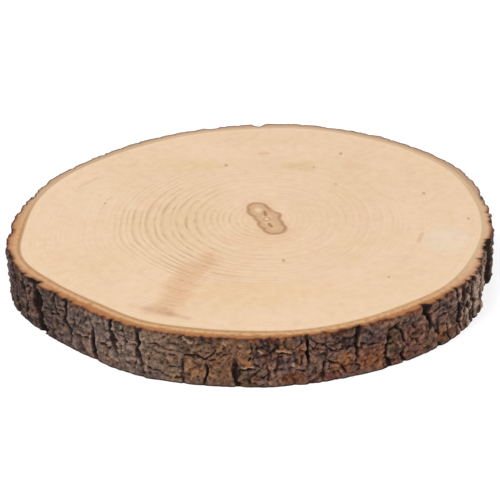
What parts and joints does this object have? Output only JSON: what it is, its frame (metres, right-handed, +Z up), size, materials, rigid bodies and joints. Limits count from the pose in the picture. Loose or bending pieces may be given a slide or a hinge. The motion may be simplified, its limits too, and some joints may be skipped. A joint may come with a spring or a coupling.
{
  "type": "wood slice",
  "caption": "Round cross-cut slice of a pale hardwood trunk, sawn flat on both faces, with its furrowed bark left on, used as a serving board, stand or display base.",
  "frame": {"origin": "on the underside, under the middle of the slice's outline", "axes": "+Z up, from the underside to the upper sawn face; +X along the slice's greatest width, to the right; +Y away, across the slice"},
  "size_m": [0.2935, 0.2625, 0.032],
  "materials": {
    "wood": "sanded bare wood, matt",
    "bark": "rough natural bark, matt"
  },
  "bodies": {
    "root": {"wood_slice": "wood"}
  },
  "joints": []
}
